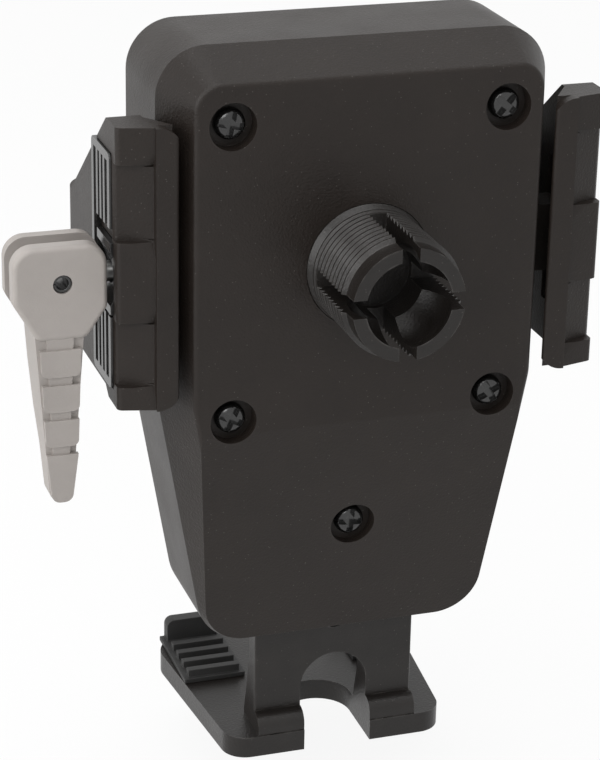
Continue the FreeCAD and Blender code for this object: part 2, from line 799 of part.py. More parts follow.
def cover_screws():
    turns = (12, 40, 25, 62)
    pieces = []
    for (name, x, z), turn in zip(SCREWS, turns):
        pieces.append(cover_screw(name, x, z, s.back_plane, turn, 0))
    pieces.append(cover_screw("chin", size(0), -CHIN_SCREW_DROP, CHIN_SCREW_BACK, 5, 0))
    return keep(group("cover_screws", pieces))


def brass_inserts():
    """Threaded sleeves moulded into the front shell for the four corner screws."""
    pieces = []
    for name, x, z in SCREWS:
        sleeve = Piece(f"brass_insert_{name}")
        ring = (circle(0, 0, s.insert_radius), circle(0, 0, s.screw_radius + s.running_gap))
        sleeve.pad("XZ", SEAM, SEAM + s.insert_length, *ring)
        sleeve.place((x, 0, z))
        pieces.append(sleeve)
    return keep(group("brass_inserts", pieces))


def phone_rest():
    """The rubber sheet on the front face that the phone's back lies on."""
    piece = Piece("phone_rest").pad("XZ", FRONT, FRONT + s.rest_thick, outline(s.rest_inset))
    front = (FRONT + s.rest_thick).number
    piece.round(s.rest_thick / 4, lambda edge: edge.BoundBox.YMin > front - 0.01)
    grooves = []
    for row in range(-3, 3):
        middle = size(11) * row
        grooves.append(rectangle(-(CHIN - 6), CHIN - 6, middle, middle + s.rest_groove))
    piece.cut("XZ", FRONT + s.rest_thick / 2, FRONT + s.rest_thick + 1, *grooves)
    return keep(piece)


# ---------------------------------------------------------------------------------------------
# Rack frame, pinion and spring
# ---------------------------------------------------------------------------------------------


def guide_frame():
    """The tray that the arms slide in, with the spring's cup on its far side."""
    half = FRAME_HALF
    piece = Piece("guide_frame")
    piece.pad("XZ", FLOOR_BACK, FLOOR_FRONT, rectangle(-half, half, -RAIL_OUTER, RAIL_OUTER))
    piece.pad("XZ", CAP_FRONT, FLOOR_BACK, rectangle(-half, half, RAIL_INNER, RAIL_OUTER),
              rectangle(-half, half, -RAIL_OUTER, -RAIL_INNER))
    piece.pad("XZ", FLOOR_FRONT, CUP_FRONT, circle(0, 0, CUP_OUTER), circle(0, 0, CUP_OUTER - s.cup_wall))
    piece.cut("XZ", FLOOR_BACK - 1, FLOOR_FRONT + 1, circle(0, 0, s.pinion_hub_radius + s.part_gap))
    holes = [circle(a * FRAME_SCREW_X, b * RAIL_MIDDLE, s.frame_screw_radius + s.running_gap)
             for a in (-1, 1) for b in (-1, 1)]
    piece.cut("XZ", CAP_FRONT - 1, FLOOR_FRONT + 1, *holes)
    return keep(piece)


def guide_cap():
    """The thin steel sheet that closes the tray over the arms."""
    half = FRAME_HALF
    holes = [circle(a * FRAME_SCREW_X, b * RAIL_MIDDLE, s.frame_screw_radius + s.running_gap)
             for a in (-1, 1) for b in (-1, 1)]
    holes.append(circle(0, 0, s.axle_radius + s.running_gap))
    piece = Piece("guide_cap")
    piece.pad("XZ", CAP_BACK, CAP_FRONT, rectangle(-half, half, -RAIL_OUTER, RAIL_OUTER), *holes)
    return keep(piece)


def guide_screws():
    """Four screws through the cap and the rails into the front shell's posts."""
    pieces = []
    for number, (a, b) in enumerate(((-1, -1), (-1, 1), (1, -1), (1, 1)), 1):
        screw = Piece(f"guide_screw_{number}")
        screw.pad("XZ", CAP_BACK, FLOOR_FRONT + 4, circle(0, 0, s.frame_screw_radius))
        screw.pad("XZ", CAP_BACK - s.frame_head_height, CAP_BACK, circle(0, 0, s.frame_head_radius))
        screw.place((a * FRAME_SCREW_X, 0, b * RAIL_MIDDLE))
        pieces.append(screw)
    return keep(group("guide_screws", pieces))


def pinion_axle():
    """The plain steel axle, pressed into the front shell's middle post."""
    piece = Piece("pinion_axle")
    piece.pad("XZ", CAP_BACK, INSIDE_FRONT - 1 - s.part_gap, circle(0, 0, s.axle_radius))
    return keep(piece)


def pinion():
    """The gear between the racks; its hub passes through the tray into the spring."""
    teeth = int(s.pinion_teeth.number)
    pitch = s.pitch_radius.number
    base = pitch * math.cos(math.radians(20))
    tip = pitch + s.addendum.number
    foot = pitch - s.dedendum.number
    half_tooth = math.pi / (2 * teeth) - s.backlash.number / (2 * pitch)

    def involute(radius):
        """How far a flank has turned when it has climbed to a radius."""
        if radius <= base:
            return 0.0
        pressure = math.acos(base / radius)
        return math.tan(pressure) - pressure

    flank = [foot] + [base + (tip - base) * step / 5 for step in range(6)]
    corners = []
    for tooth in range(teeth):
        middle = math.pi / 2 + 2 * math.pi * tooth / teeth
        lean = [half_tooth + involute(pitch) - involute(radius) for radius in flank]
        for radius, turn in zip(flank, lean):
            corners.append(Vector(radius * math.cos(middle - turn), 0, radius * math.sin(middle - turn)))
        for radius, turn in zip(reversed(flank), reversed(lean)):
            corners.append(Vector(radius * math.cos(middle + turn), 0, radius * math.sin(middle + turn)))
    gear = Part.Face(Part.makePolygon(corners + corners[:1])).extrude(Y * s.pinion_width.number)
    hub_length = (CUP_FRONT - s.arm_plane + s.pinion_width / 2).number
    hub = Part.makeCylinder(s.pinion_hub_radius.number, hub_length, Vector(), Y)
    bore = Part.makeCylinder((s.axle_radius + s.running_gap).number, hub_length + 2, Vector(0, -1, 0), Y)
    feature = doc.addObject("Part::Feature", "pinion")
    feature.Label = "pinion"
    feature.Shape = gear.fuse(hub).cut(bore).removeSplitter()
    feature.Placement = Placement(Vector(), Rotation())
    tie(feature, "Placement.Base.y", s.arm_plane - s.pinion_width / 2)
    return keep(feature)


def return_spring():
    """A spiral strip that winds as the jaws open and pulls them shut."""
    inner = (s.pinion_hub_radius + s.part_gap).number
    turns = s.spring_turns.number
    steps = 18
    inside, outside = [], []
    for step in range(int(turns * steps) + 1):
        angle = 2 * math.pi * step / steps
        radius = inner + s.spring_pitch.number * step / steps
        ray = Vector(math.cos(angle), 0, math.sin(angle))
        inside.append(ray * radius)
        outside.append(ray * (radius + s.spring_strip.number))
    spirals = []
    for points in (inside, outside):
        curve = Part.BSplineCurve()
        curve.interpolate(points)
        spirals.append(curve.toShape())
    ends = [Part.makeLine(inside[0], outside[0]), Part.makeLine(inside[-1], outside[-1])]
    strip = Part.Face(Part.Wire(Part.sortEdges(spirals + ends)[0])).extrude(Y * s.spring_width.number)
    feature = doc.addObject("Part::Feature", "return_spring")
    feature.Label = "return_spring"
    feature.Shape = strip
    feature.Placement = Placement(Vector(), Rotation())
    tie(feature, "Placement.Base.y", FLOOR_FRONT + s.part_gap)
    return keep(feature)


def rack_arm(name, sign):
    """A flat arm: a flange in the jaw, a block through the wall and a rack at the pinion."""
    pitch = math.pi * 2 * s.pitch_radius / s.pinion_teeth
    tip = s.pitch_radius - s.addendum
    valley = s.pitch_radius + s.dedendum
    lean = math.tan(math.radians(20))
    tooth = pitch / 4 - s.backlash / 4
    over = -sign
    corners = [
        (ARM_END, -s.flange_half),
        (ARM_END, s.flange_half),
        (ARM_END - s.arm_flange_thick, s.flange_half),
        (ARM_END - s.arm_flange_thick, s.arm_half),
        (BLOCK_SHOULDER, s.arm_half),
        (BLOCK_SHOULDER, s.rack_back),
        (-RACK_REACH, s.rack_back),
        (-RACK_REACH, valley),
    ]
    first = -int((RACK_REACH.number - 1) / pitch.number - 0.5)
    last = 1
    for number in range(first, last + 1):
        middle = pitch * (number + 0.5)
        wide = tooth + lean * s.dedendum
        narrow = tooth - lean * s.addendum
        corners.append((middle - wide, valley))
        corners.append((middle - narrow, tip))
        corners.append((middle + narrow, tip))
        corners.append((middle + wide, valley))
    corners += [
        (BLOCK_INNER, valley),
        (BLOCK_INNER, -s.arm_half),
        (ARM_END - s.arm_flange_thick, -s.arm_half),
        (ARM_END - s.arm_flange_thick, -s.flange_half),
    ]
    placed = [(sign * size(x), over * size(z)) for x, z in corners]
    piece = Piece(f"{name}_arm").pad("XZ", ARM_BACK, ARM_FRONT, polygon(*placed))
    # clearance for the screws that hold it to the jaw
    low, high = span(sign, ARM_END - s.arm_flange_thick - 1, ARM_END + 1)
    holes = [circle(s.arm_plane, b * s.jaw_screw_z, s.jaw_screw_radius + s.running_gap) for b in (-1, 1)]
    piece.cut("YZ", low, high, *holes)
    if sign < 0:
        # the lock: a bore for the rod and a well for the cone and its shoe
        bore_end = -(BLOCK_INNER + s.cone_inset + s.cone_length)
        piece.cut("YZ", -ARM_END - 1, bore_end, circle(s.arm_plane, 0, s.rod_radius + s.rod_gap))
        well = rectangle(bore_end - s.lock_travel, -(BLOCK_INNER + s.cone_inset - s.lock_travel - s.part_gap),
                         -s.shoe_half - s.part_gap, s.shoe_half + s.part_gap)
        piece.cut("XZ", s.arm_plane - s.cone_large - s.running_gap * 2, ARM_FRONT + 1, well)
    return keep(piece)


# ---------------------------------------------------------------------------------------------
# Jaws
# ---------------------------------------------------------------------------------------------


def jaw(name, sign):
    """One jaw: it wraps the body's side from the back and hooks round the phone's edge."""
    back = s.back_plane
    front = back + s.jaw_front
    floor = back + s.jaw_step_depth
    corners = (
        (JAW_BACK_INNER, back),
        (JAW_STEP, back),
        (JAW_STEP, floor),
        (JAW_OUTER, back + s.jaw_boss_back),
        (JAW_OUTER, front),
        (JAW_LIP, front),
        (JAW_LIP, GRIP_FRONT),
        (JAW_INNER, GRIP_FRONT),
        (JAW_INNER, JAW_INNER_BACK),
    )
    section = polygon(*[(sign * size(x), y) for x, y in corners])
    piece = Piece(f"{name}_jaw").pad("XY", -s.jaw_drop, s.jaw_top, section)
    # the nose: sloped above, stepped back below
    shoulder = back + s.jaw_shoulder
    nose = front - s.jaw_front_corner
    over = polygon((shoulder, s.jaw_top - 0.9), (nose, s.jaw_nose_top), (front + 1, s.jaw_nose_top),
                   (front + 1, s.jaw_top + 1), (shoulder - 1.2, s.jaw_top + 1), (shoulder - 1.2, s.jaw_top))
    low_start = back + s.jaw_heel
    under = polygon((low_start, -s.jaw_drop), (low_start + 2, -(s.jaw_drop - s.jaw_heel_step)),
                    (back + s.jaw_heel_end, -(s.jaw_drop - s.jaw_heel_step)), (nose, -s.jaw_nose_drop), (front + 1, -s.jaw_nose_drop),
                    (front + 1, -(s.jaw_drop + 1)), (low_start, -(s.jaw_drop + 1)))
    piece.cut("YZ", -FAR, FAR, over)
    piece.cut("YZ", -FAR, FAR, under)
    # two shallow channels with a boss between them, each with sloping ends
    deep = back + s.jaw_boss_back + s.jaw_recess
    recess = polygon((sign * JAW_STEP, back - 1), (sign * JAW_STEP, back + s.jaw_recess - s.jaw_step_depth),
                     (sign * (JAW_OUTER + 1), deep), (sign * (JAW_OUTER + 1), back - 1))
    low_x, high_x = span(sign, JAW_STEP, JAW_OUTER + 1)
    ramp = s.jaw_ramp
    for high, low in ((s.jaw_channel_top, s.jaw_boss_top), (-s.jaw_boss_drop, -s.jaw_channel_drop)):
        piece.cut("XY", low, high, recess)
        for end, out in ((high, 1), (low, -1)):
            slope = polygon((back - 1, end - out * 0.5), (back - 1, end + out * ramp), (back, end + out * ramp),
                            (back + s.jaw_recess - s.jaw_step_depth, end), (back + s.jaw_recess, end - out * 0.5))
            piece.cut("YZ", low_x, high_x, slope)
    # corners seen from the back
    inner, outer, seat = JAW_BACK_INNER.number, JAW_OUTER.number, back.number
    reach = s.jaw_corner * 2
    for end, out in ((s.jaw_top, 1), (-s.jaw_drop, -1)):
        near, far = sign * JAW_BACK_INNER, sign * (JAW_BACK_INNER + reach)
        beyond = sign * (JAW_BACK_INNER - 1)
        past, inside = end + out, end - out * reach
        piece.cut("XZ", back - 1, back + s.jaw_corner_depth, polygon(
            (beyond, past), (beyond, inside), (near, inside), (near, end, s.jaw_corner), (far, end), (far, past)))

    def front_corner(edge):
        middle = edge.CenterOfMass
        return along(edge, Z) and beside(middle.y, front) and beside(abs(middle.x), outer)

    piece.round(s.jaw_front_corner, front_corner)

    def outer_back(edge):
        middle = edge.CenterOfMass
        return along(edge, Z) and middle.y < seat + 6 and abs(abs(middle.x) - outer) < 0.05

    piece.round(s.jaw_step_depth * 1.5, outer_back)

    def soft_back(edge):
        box = edge.BoundBox
        return box.YMax < seat + 0.01 and abs(abs(edge.CenterOfMass.x) - inner) < 0.5 and along(edge, Z)

    piece.round(s.jaw_step_depth, soft_back)
    # the seat for the arm's flange
    low, high = span(sign, JAW_INNER - 1, ARM_END + s.part_gap / 2)
    gap = s.part_gap / 2
    flange = rectangle(ARM_BACK - gap, ARM_FRONT + gap, -s.flange_half - gap, s.flange_half + gap)
    piece.cut("YZ", low, high, flange)
    # the seat for the cheek plate
    low, high = span(sign, JAW_OUTER - s.cheek_seat, JAW_OUTER + 2)
    piece.cut("YZ", low, high, rectangle(back + s.cheek_back, back + s.cheek_front, -s.cheek_drop, s.cheek_top))
    # screw holes and head seats under the plate
    low, high = span(sign, JAW_INNER, JAW_OUTER + 2)
    piece.cut("YZ", low, high, *[circle(s.arm_plane, b * s.jaw_screw_z, s.jaw_screw_radius + s.screw_gap)
                                 for b in (-1, 1)])
    head = JAW_OUTER - s.cheek_seat - s.jaw_head_height - s.running_gap
    low, high = span(sign, head, JAW_OUTER + 2)
    piece.cut("YZ", low, high, *[circle(s.arm_plane, b * s.jaw_screw_z, s.jaw_screw_head + s.screw_gap)
                                 for b in (-1, 1)])
    if sign < 0:
        half = s.saddle_half + s.screw_gap
        wide = s.saddle_width / 2 + s.screw_gap
        window = rectangle(s.arm_plane - wide, s.arm_plane + wide, -half, half)
        piece.cut("YZ", -(JAW_OUTER + 2), -JAW_INNER, window)
    return keep(piece)


def grip(name, sign):
    """The ribbed rubber that bears on the phone's edge."""
    inner = JAW_INNER - s.grip_thick
    low_z, high_z = -s.jaw_nose_drop, s.jaw_nose_top + 3
    back = GRIP_BACK
    front = GRIP_FRONT - s.part_gap / 3
    step = (front - back) / (2 * s.grip_ribs)
    corners = [(JAW_INNER, back), (JAW_INNER, front), (inner, front)]
    for rib in range(int(s.grip_ribs.number)):
        high = front - step * (2 * rib + 1)
        corners.append((inner + (s.grip_rib if rib else 0), high))
        corners.append((inner + s.grip_rib, high))
        corners.append((inner + s.grip_rib, high - step))
        corners.append((inner, high - step))
    corners = [pair for n, pair in enumerate(corners) if n == 0 or pair[0].text != corners[n - 1][0].text
               or size(pair[1]).text != size(corners[n - 1][1]).text]
    corners[-1] = (inner, back)
    section = polygon(*[(sign * size(x), y) for x, y in corners])
    piece = Piece(f"{name}_grip").pad("XY", low_z, high_z, section)
    return keep(piece)


def cheek(name, sign):
    """The ribbed plate let into the jaw's outer face, over the arm's screws."""
    back = s.back_plane + s.cheek_back + s.part_gap / 3
    front = s.back_plane + s.cheek_front - s.part_gap / 3
    top = s.cheek_top - s.part_gap / 3
    bottom = -(s.cheek_drop - s.part_gap / 3)
    seat = JAW_OUTER - s.cheek_seat
    low, high = span(sign, seat, CHEEK_FACE)
    piece = Piece(f"{name}_cheek").pad("YZ", low, high, rectangle(back, front, bottom, top))
    rim = s.cheek_rim_width
    near, far = span(sign, CHEEK_FACE, CHEEK_FACE + s.cheek_rim)
    ring = (rectangle(back, front, bottom, top), rectangle(back + rim, front - rim, bottom + rim, top - rim))
    piece.pad("YZ", near, far, *ring)
    ribs = []
    count = int(s.cheek_ribs.number)
    room = s.cheek_front - s.cheek_back - 2 * rim
    for rib in range(count):
        middle = s.back_plane + s.cheek_back + rim + room * (rib + 1) / (count + 1)
        half = s.cheek_rib_width / 2
        ribs.append(rectangle(middle - half, middle + half, bottom + rim / 2, top - rim / 2))
    piece.pad("YZ", near, far, *ribs)
    corners = [(back.number, top.number), (back.number, bottom.number),
               (front.number, top.number), (front.number, bottom.number)]
    if sign < 0:
        low, high = span(sign, seat - 1, CHEEK_FACE + 2)
        stop = s.arm_plane + s.clevis_width / 2 + s.part_gap
        piece.cut("YZ", low, high, rectangle(back - 1, stop, -s.window_drop, s.window_top))

    def corner(edge):
        middle = edge.CenterOfMass
        return along(edge, X) and any(abs(middle.y - y) < 0.02 and abs(middle.z - z) < 0.02 for y, z in corners)

    piece.round(s.cheek_rim_width * 0.8, corner)
    return keep(piece)


def jaw_screws(name, sign):
    """Two screws from the jaw's outer side into the arm's flange."""
    head = JAW_OUTER - s.cheek_seat - s.jaw_head_height
    pieces = []
    for number, b in enumerate((-1, 1), 1):
        screw = Piece(f"{name}_jaw_screw_{number}")
        low, high = span(sign, ARM_END - s.arm_flange_thick + s.part_gap, head)
        screw.pad("YZ", low, high, circle(0, 0, s.jaw_screw_radius))
        low, high = span(sign, head, head + s.jaw_head_height)
        screw.pad("YZ", low, high, circle(0, 0, s.jaw_screw_head))
        screw.place((0, s.arm_plane, b * s.jaw_screw_z))
        pieces.append(screw)
    return keep(group(f"{name}_jaw_screws", pieces))


# ---------------------------------------------------------------------------------------------
# Lock: lever, pin, saddle, rod, cone and shoe
# ---------------------------------------------------------------------------------------------


def cam_saddle():
    """The polished washer whose hollow face the lever's corner turns past."""
    wide = s.saddle_width / 2
    piece = Piece("cam_saddle")
    outer = PIN_X - s.saddle_stop
    block = rectangle(s.arm_plane - wide, s.arm_plane + wide, -s.saddle_half, s.saddle_half)
    piece.pad("YZ", -outer, -(ARM_END + s.running_gap), block)
    piece.cut("XZ", s.arm_plane - wide - 1, s.arm_plane + wide + 1, circle(PIN, 0, s.saddle_radius))
    piece.cut("YZ", -outer - 1, -ARM_END, circle(s.arm_plane, 0, s.rod_radius + s.rod_gap))
    return keep(piece)


def cam_lever():
    """The clevis lever, drawn locked with its handle hanging down."""
    left, right = PIN - s.ear_left, PIN + s.ear_right
    low = -s.ear_drop
    ears = polygon(
        (left, s.ear_top, s.ear_corner), (right, s.ear_top, s.ear_corner), (right, low + 5.1, 2),
        (PIN + 4.0, low, 2), (PIN - 4.3, low, 2), (left, low + 6.7, 2))
    piece = Piece("cam_lever").pad("XZ", LEVER_BACK, LEVER_FRONT, ears)
    piece.round(s.ear_edge, lambda edge: edge.BoundBox.YLength < 0.001)
    # handle: a tapering bar whose far side draws in towards the tip
    root_half, tip_half = s.lever_root_width / 2, s.lever_tip_width / 2
    middle_top, middle_tip = PIN - s.lever_lean, PIN - s.lever_lean * 1.3
    tip = -s.lever_tip_drop
    bar_back = LEVER_BACK + s.tread_height
    bar = polygon(
        (middle_top - root_half, low + 1.5), (middle_top + root_half, low + 1.5),
        (middle_tip + tip_half, tip, tip_half * 0.9), (middle_tip - tip_half, tip, tip_half * 0.9))
    piece.pad("XZ", bar_back, LEVER_FRONT, bar)
    draw_in = polygon(
        (LEVER_FRONT, low - s.lever_draw_start), (LEVER_FRONT - s.lever_draw_in / 4, low - s.lever_draw_bend),
        (LEVER_FRONT - s.lever_draw_in * 0.73, tip + s.lever_draw_end), (LEVER_FRONT - s.lever_draw_in, tip - 1),
        (LEVER_FRONT + 1, tip - 1), (LEVER_FRONT + 1, low - s.lever_draw_start))
    piece.cut("YZ", -FAR, FAR, draw_in)
    # clevis gap, open at the top
    gap = s.clevis_gap / 2
    floor = low + 2.4
    piece.cut("XZ", s.arm_plane - gap, s.arm_plane + gap, rectangle(left - 1, right + 1, floor, s.ear_top + 1))
    hole = circle(PIN, 0, s.pin_radius + s.pin_hole_gap)
    piece.cut("XZ", LEVER_BACK - 1, LEVER_FRONT + 1, hole)
    # treads on the handle's back
    count = int(s.treads.number)
    start, end = low - 1.7, tip
    pitch_z = s.tread_pitch
    for tread in range(count):
        top = start - pitch_z * tread
        bottom = top - s.tread_length if tread < count - 1 else end
        share = (start.number - top.number) / (start.number - end.number)
        half = root_half * (0.82 - 0.25 * share)
        low_half = half * 0.94
        if tread < count - 1:
            shape = polygon((middle_top - half, top), (middle_top + half, top),
                            (middle_top + low_half, bottom, s.tread_corner), (middle_top - low_half, bottom, s.tread_corner))
        else:
            shape = polygon((middle_top - half, top), (middle_top + half, top),
                            (middle_tip + tip_half * 0.9, end, tip_half * 0.8),
                            (middle_tip - tip_half * 0.9, end, tip_half * 0.8))
        piece.pad("XZ", LEVER_BACK, bar_back, shape)
    neck = polygon((middle_top - root_half * 0.55, low + 1), (middle_top + root_half * 0.55, low + 1),
                   (middle_tip + tip_half * 0.7, tip + 6), (middle_tip - tip_half * 0.7, tip + 6))
    piece.pad("XZ", LEVER_BACK + s.tread_height * 0.4, bar_back, neck)
    return keep(piece)


def lever_pin():
    """The split roll pin through both ears."""
    piece = Piece("lever_pin")
    ring = (circle(PIN, 0, s.pin_radius), circle(PIN, 0, s.roll_pin_bore))
    piece.pad("XZ", LEVER_BACK + s.pin_inset, LEVER_FRONT - s.pin_inset, *ring)
    split = rectangle(PIN - s.pin_radius - 1, PIN, -s.running_gap * 2, s.running_gap * 2)
    piece.cut("XZ", LEVER_BACK, LEVER_FRONT, split)
    return keep(piece)


def lock_rod():
    """The draw rod: a flat eye on the lever's pin and a thin nose for the cone."""
    half = s.eye_thick / 2
    cone_tip = BLOCK_INNER + s.cone_inset
    shoulder = cone_tip + s.cone_length + s.lock_travel + s.part_gap
    piece = Piece("lock_rod").pad("XZ", s.arm_plane - half, s.arm_plane + half, circle(PIN, 0, s.eye_radius))
    piece.pad("YZ", PIN, -shoulder, circle(s.arm_plane, 0, s.rod_radius))
    piece.pad("YZ", -shoulder, -cone_tip, circle(s.arm_plane, 0, s.nose_radius))
    piece.cut("XZ", s.arm_plane - half - 1, s.arm_plane + half + 1, circle(PIN, 0, s.pin_radius + s.running_gap))
    face = s.eye_thick / 2
    clear = rectangle(PIN - s.eye_radius - 1, PIN + s.eye_radius, -s.eye_radius - 1, s.eye_radius + 1)
    piece.cut("XZ", s.arm_plane + face, s.arm_plane + face + 3, clear)
    piece.cut("XZ", s.arm_plane - face - 3, s.arm_plane - face, clear)
    return keep(piece)


def lock_cone():
    """The threaded cone on the rod's nose that lifts the shoe."""
    cone_tip = -(BLOCK_INNER + s.cone_inset)
    cone_start = cone_tip - s.cone_length
    bore = s.nose_radius + s.running_gap
    section = polygon((cone_start, bore), (cone_start, s.cone_small), (cone_tip, s.cone_large), (cone_tip, bore))
    piece = Piece("lock_cone").turn("X", section).place((0, s.arm_plane, 0))
    return keep(piece)


def brake_shoe():
    """The block that the cone presses on the tray's floor."""
    cone_tip = -(BLOCK_INNER + s.cone_inset)
    cone_start = cone_tip - s.cone_length
    clear = s.running_gap * 2
    section = polygon(
        (cone_start, s.arm_plane + s.cone_small + clear),
        (cone_tip, s.arm_plane + s.cone_large + clear),
        (cone_tip, FLOOR_BACK - clear),
        (cone_start, FLOOR_BACK - clear),
    )
    piece = Piece("brake_shoe").pad("XY", -s.shoe_half, s.shoe_half, section)
    return keep(piece)


# ---------------------------------------------------------------------------------------------
# Foot
# ---------------------------------------------------------------------------------------------


def foot():
    """The sliding plate with its arch and the ledge that carries the phone."""
    half = s.foot_half
    top = -s.foot_top_drop
    piece = Piece("foot")
    piece.pad("XZ", s.foot_plane, FOOT_FRONT, rectangle(-half, half, LEDGE_BOTTOM, top))
    gusset = polygon(
        (FOOT_FRONT - 0.5, LEDGE_TOP + s.gusset_height),
        (FOOT_FRONT, LEDGE_TOP + s.gusset_height),
        (FOOT_FRONT + s.gusset_rise, LEDGE_TOP + 1),
        (FOOT_FRONT + s.gusset_rise, LEDGE_TOP - 0.5),
        (FOOT_FRONT - 0.5, LEDGE_TOP - 0.5),
    )
    piece.pad("YZ", -half, half, gusset)
    ledge = polygon(
        (-s.ledge_back_half, s.ledge_back), (s.ledge_back_half, s.ledge_back),
        (s.ledge_front_half, s.ledge_front), (-s.ledge_front_half, s.ledge_front))
    piece.pad("XY", LEDGE_BOTTOM, LEDGE_TOP, ledge)
    bead_top = LEDGE_TOP + s.bead * 1.3
    bead = polygon(
        (s.foot_plane + 0.5, bead_top), (s.foot_plane - s.bead, bead_top, s.bead * 0.9),
        (s.foot_plane - s.bead, LEDGE_TOP - 0.5), (s.foot_plane + 0.5, LEDGE_TOP - 0.5))
    piece.pad("YZ", -half, half, bead)
    level, back, front = LEDGE_TOP.number, s.ledge_back.number, s.ledge_front.number

    def ledge_edge(row):
        def wanted(edge):
            return along(edge, Z) and beside(edge.CenterOfMass.y, row) and edge.BoundBox.ZMax < level + 0.1

        return wanted

    piece.round(s.ledge_corner, ledge_edge(back))
    piece.round(s.ledge_toe_corner, ledge_edge(front))
    # the arch in the plate and the notch in the ledge
    arch = s.arch_half
    spring = LEDGE_BOTTOM + s.arch_height - arch
    piece.cut("XZ", s.ledge_back - 1, FOOT_FRONT + s.gusset_rise + 1,
              rectangle(-arch, arch, LEDGE_BOTTOM - 1, spring))
    piece.cut("XZ", s.ledge_back - 1, FOOT_FRONT + s.gusset_rise + 1, circle(0, spring, arch))
    notch_centre = s.notch_end - arch
    piece.cut("XY", LEDGE_BOTTOM - 1, LEDGE_TOP + 1, rectangle(-arch, arch, s.ledge_back - 1, notch_centre))
    piece.cut("XY", LEDGE_BOTTOM - 1, LEDGE_TOP + 1, circle(0, notch_centre, arch))
    # the long slot that the chin screw's boss stands in
    slot = s.foot_slot_half
    high, end = -(s.foot_top_drop + s.foot_slot_bridge + slot), -(CHIN_SCREW_DROP + s.foot_slot_below - slot)
    piece.cut("XZ", s.foot_plane - 1, FOOT_FRONT + 1, rectangle(-slot, slot, end, high))
    piece.cut("XZ", s.foot_plane - 1, FOOT_FRONT + 1, circle(0, end, slot))
    piece.cut("XZ", s.foot_plane - 1, FOOT_FRONT + 1, circle(0, high, slot))

    def plate_rim(edge):
        middle = edge.CenterOfMass
        return along(edge, Z) and beside(abs(middle.x), half) and beside(middle.y, s.foot_plane)

    piece.round(s.foot_gap * 1.5, plate_rim)
    return keep(piece)


def foot_pad(name, sign):
    """One ribbed rubber pad with an upturned lip, on the ledge's toe."""
    thick = s.foot_pad_thick
    top = LEDGE_TOP + thick
    piece = Piece(f"foot_pad_{name}")
    inner, outer = span(sign, s.foot_pad_inner, s.foot_pad_outer)
    piece.pad("XY", LEDGE_TOP, top, rectangle(inner, outer, s.foot_pad_back, s.foot_pad_front))
    side = s.part_gap * 3
    low_x, high_x = span(sign, s.foot_pad_inner + side, s.foot_pad_outer - side)
    pitch = (s.foot_pad_front - s.foot_lip_width - s.foot_pad_back - s.foot_rib_width) / s.foot_ribs
    ribs = []
    for rib in range(int(s.foot_ribs.number)):
        start = s.foot_pad_back + s.foot_rib_width / 2 + pitch * rib
        ribs.append(rectangle(low_x, high_x, start, start + s.foot_rib_width))
    piece.pad("XY", LEDGE_TOP + thick / 2, LEDGE_TOP + s.foot_rib_height, *ribs)
    lip_start = s.foot_pad_front - s.foot_lip_width
    lip_top = LEDGE_TOP + s.foot_lip_height
    piece.pad("XY", LEDGE_TOP + thick / 2, lip_top, rectangle(low_x, high_x, lip_start, s.foot_pad_front))
    lip_level = lip_top.number

    def lip_corner(edge):
        return along(edge, Y) and beside(edge.CenterOfMass.z, lip_level)

    piece.round(s.foot_lip_width * 0.6, lip_corner)
    return piece


def foot_pads():
    return keep(group("foot_pads", [foot_pad("left", -1), foot_pad("right", 1)]))


def foot_keeper():
    """The strap behind the foot that stops it from leaning out."""
    piece = Piece("foot_keeper")
    front = s.foot_plane - s.foot_gap
    half = s.keeper_half
    holes = [circle(a * s.keeper_screw_x, KEEPER_SCREW, s.frame_screw_radius + s.running_gap)
             for a in (-1, 1)]
    piece.pad("XZ", front - s.keeper_thick, front, rectangle(-half, half, KEEPER_LOW, KEEPER_TOP), *holes)
    return keep(piece)


def keeper_screws():
    """Two screws that hold the strap to its posts."""
    front = s.foot_plane - s.foot_gap
    pieces = []
    for number, a in enumerate((-1, 1), 1):
        screw = Piece(f"keeper_screw_{number}")
        screw.pad("XZ", front - s.keeper_thick, front + 5, circle(0, 0, s.frame_screw_radius))
        top = front - s.keeper_thick
        screw.pad("XZ", top - s.frame_head_height, top, circle(0, 0, s.frame_head_radius))
        screw.place((a * s.keeper_screw_x, 0, KEEPER_SCREW))
        pieces.append(screw)
    return keep(group("keeper_screws", pieces))


def foot_leaf_springs():
    """Two bent strips that lean on the foot and hold it wherever it is pushed."""
    pieces = []
    wall = INSIDE_FRONT
    thick = s.leaf_thick
    near = FOOT_FRONT + s.running_gap
    low = KEEPER_TOP + s.leaf_rise
    middle, top = low + s.leaf_reach, low + s.leaf_reach * 2
    strip = polygon(
        (wall, low - s.leaf_foot), (wall, low), (near + thick, middle), (wall - s.part_gap * 2, top),
        (wall - s.part_gap * 2 - thick, top), (near, middle), (wall - thick, low - thick), (wall - thick, low - s.leaf_foot))
    for name, sign in (("left", -1), ("right", 1)):
        leaf = Piece(f"foot_leaf_{name}")
        low_x, high_x = span(sign, s.leaf_x - s.leaf_width / 2, s.leaf_x + s.leaf_width / 2)
        leaf.pad("YZ", low_x, high_x, strip)
        pieces.append(leaf)
    return keep(group("foot_leaf_springs", pieces))


# ---------------------------------------------------------------------------------------------
# Build, check and write
# ---------------------------------------------------------------------------------------------

